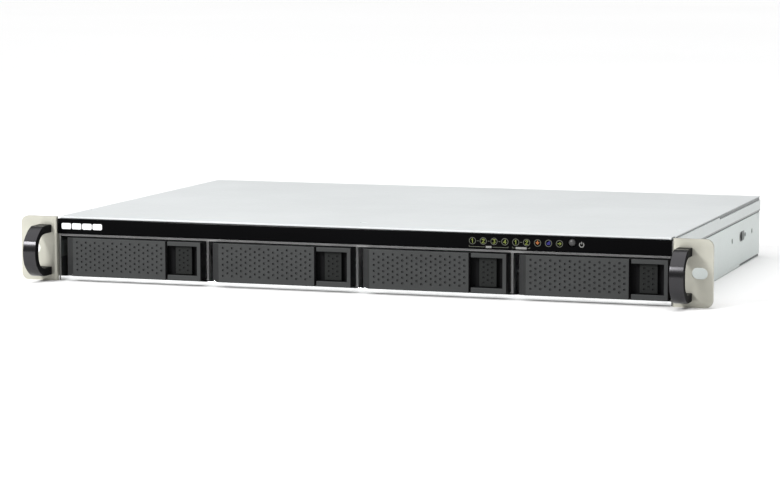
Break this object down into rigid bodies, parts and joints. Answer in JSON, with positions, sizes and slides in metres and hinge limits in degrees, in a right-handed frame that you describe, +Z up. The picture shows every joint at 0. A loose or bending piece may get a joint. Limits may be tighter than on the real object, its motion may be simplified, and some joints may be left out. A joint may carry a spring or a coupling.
{
  "type": "nas enclosure",
  "caption": "Flat rack-mount storage enclosure with lever trays across the front, bow handles on its rack ears, and boards, fans and a power supply inside.",
  "frame": {"origin": "on the plane of the base, under the middle of the object's bounding box", "axes": "+X to the right seen from the front, +Y to the back, +Z up; the front faces -Y"},
  "size_m": [0.4826, 0.3204, 0.044],
  "materials": {
    "zinc_sheet": "matt zinc-coated sheet steel",
    "ear_metal": "satin warm silver",
    "handle_gunmetal": "satin dark anodised",
    "frame_silver": "satin sheet steel",
    "gloss_black": "polished",
    "tray_plastic": "fine moulded texture",
    "black_plastic": "moulded",
    "circuit_board": "solder mask",
    "bright_nickel": "bright plated",
    "bare_aluminium": "bare",
    "print_grey": "printed line",
    "lamp_green": "tinted lamp",
    "lamp_orange": "tinted lamp",
    "lamp_blue": "tinted lamp"
  },
  "bodies": {
    "chassis": {"chassis_base": "zinc_sheet", "top_cover": "zinc_sheet", "drive_cage": "zinc_sheet", "rear_panel": "zinc_sheet", "rack_ear_left": "ear_metal", "rack_ear_right": "ear_metal", "ear_handle_left": "handle_gunmetal", "ear_handle_right": "handle_gunmetal", "bay_frame": "frame_silver", "front_strip": "gloss_black", "system_fan_1_frame": "black_plastic", "system_fan_2_frame": "black_plastic", "power_inlet": "black_plastic", "memory_socket": "black_plastic", "drive_connector_1": "black_plastic", "drive_connector_2": "black_plastic", "drive_connector_3": "black_plastic", "drive_connector_4": "black_plastic", "backplane": "circuit_board", "mainboard": "circuit_board", "memory_module": "circuit_board", "led_board": "circuit_board", "lan_ports": "bright_nickel", "usb_ports_1": "bright_nickel", "usb_ports_2": "bright_nickel", "cover_screw_1": "bright_nickel", "cover_screw_2": "bright_nickel", "cover_screw_3": "bright_nickel", "handle_screw_left_lower": "bright_nickel", "handle_screw_left_upper": "bright_nickel", "handle_screw_right_lower": "bright_nickel", "handle_screw_right_upper": "bright_nickel", "power_supply_case": "bare_aluminium", "processor_heatsink": "bare_aluminium"},
    "tray_1": {"tray_1_bezel": "tray_plastic", "tray_1_sled": "tray_plastic", "tray_1_hinge_pin": "bright_nickel"},
    "lever_1": {"tray_1_lever": "tray_plastic"},
    "latch_1": {"tray_1_latch": "tray_plastic"},
    "tray_2": {"tray_2_bezel": "tray_plastic", "tray_2_sled": "tray_plastic", "tray_2_hinge_pin": "bright_nickel"},
    "lever_2": {"tray_2_lever": "tray_plastic"},
    "latch_2": {"tray_2_latch": "tray_plastic"},
    "tray_3": {"tray_3_bezel": "tray_plastic", "tray_3_sled": "tray_plastic", "tray_3_hinge_pin": "bright_nickel"},
    "lever_3": {"tray_3_lever": "tray_plastic"},
    "latch_3": {"tray_3_latch": "tray_plastic"},
    "tray_4": {"tray_4_bezel": "tray_plastic", "tray_4_sled": "tray_plastic", "tray_4_hinge_pin": "bright_nickel"},
    "lever_4": {"tray_4_lever": "tray_plastic"},
    "latch_4": {"tray_4_latch": "tray_plastic"},
    "power_button": {"power_button": "black_plastic"},
    "reset_button": {"reset_button": "black_plastic"},
    "system_fan_1": {"system_fan_1_rotor": "black_plastic"},
    "system_fan_2": {"system_fan_2_rotor": "black_plastic"},
    "power_supply_fan": {"power_supply_fan_rotor": "black_plastic"}
  },
  "joints": [
    {"name": "tray_1_slide", "type": "slide", "parent": "chassis", "child": "tray_1", "axis": [0, -1, 0], "range_m": [0, 0.16]},
    {"name": "lever_1_hinge", "type": "hinge", "parent": "tray_1", "child": "lever_1", "pos_m": [-0.2038, -0.1323, 0.017], "axis": [0, 0, -1], "range_deg": [0, 65]},
    {"name": "latch_1_slide", "type": "slide", "parent": "tray_1", "child": "latch_1", "axis": [1, 0, 0], "range_m": [0, 0.0028], "stiffness_N_per_m": 150},
    {"name": "tray_2_slide", "type": "slide", "parent": "chassis", "child": "tray_2", "axis": [0, -1, 0], "range_m": [0, 0.16]},
    {"name": "lever_2_hinge", "type": "hinge", "parent": "tray_2", "child": "lever_2", "pos_m": [-0.097, -0.1323, 0.017], "axis": [0, 0, -1], "range_deg": [0, 65]},
    {"name": "latch_2_slide", "type": "slide", "parent": "tray_2", "child": "latch_2", "axis": [1, 0, 0], "range_m": [0, 0.0028], "stiffness_N_per_m": 150},
    {"name": "tray_3_slide", "type": "slide", "parent": "chassis", "child": "tray_3", "axis": [0, -1, 0], "range_m": [0, 0.16]},
    {"name": "lever_3_hinge", "type": "hinge", "parent": "tray_3", "child": "lever_3", "pos_m": [0.0098, -0.1323, 0.017], "axis": [0, 0, -1], "range_deg": [0, 65]},
    {"name": "latch_3_slide", "type": "slide", "parent": "tray_3", "child": "latch_3", "axis": [1, 0, 0], "range_m": [0, 0.0028], "stiffness_N_per_m": 150},
    {"name": "tray_4_slide", "type": "slide", "parent": "chassis", "child": "tray_4", "axis": [0, -1, 0], "range_m": [0, 0.16]},
    {"name": "lever_4_hinge", "type": "hinge", "parent": "tray_4", "child": "lever_4", "pos_m": [0.1166, -0.1323, 0.017], "axis": [0, 0, -1], "range_deg": [0, 65]},
    {"name": "latch_4_slide", "type": "slide", "parent": "tray_4", "child": "latch_4", "axis": [1, 0, 0], "range_m": [0, 0.0028], "stiffness_N_per_m": 150},
    {"name": "power_button_press", "type": "slide", "parent": "chassis", "child": "power_button", "axis": [0, 1, 0], "range_m": [0, 0.0009], "stiffness_N_per_m": 800},
    {"name": "reset_button_press", "type": "slide", "parent": "chassis", "child": "reset_button", "axis": [0, -1, 0], "range_m": [0, 0.0006], "stiffness_N_per_m": 500},
    {"name": "system_fan_1_spin", "type": "hinge", "parent": "chassis", "child": "system_fan_1", "pos_m": [-0.182, 0.1442, 0.0215], "axis": [0, 1, 0], "continuous": true},
    {"name": "system_fan_2_spin", "type": "hinge", "parent": "chassis", "child": "system_fan_2", "pos_m": [-0.138, 0.1442, 0.0215], "axis": [0, 1, 0], "continuous": true},
    {"name": "power_supply_fan_spin", "type": "hinge", "parent": "chassis", "child": "power_supply_fan", "pos_m": [0.181, 0.1442, 0.0215], "axis": [0, 1, 0], "continuous": true}
  ]
}
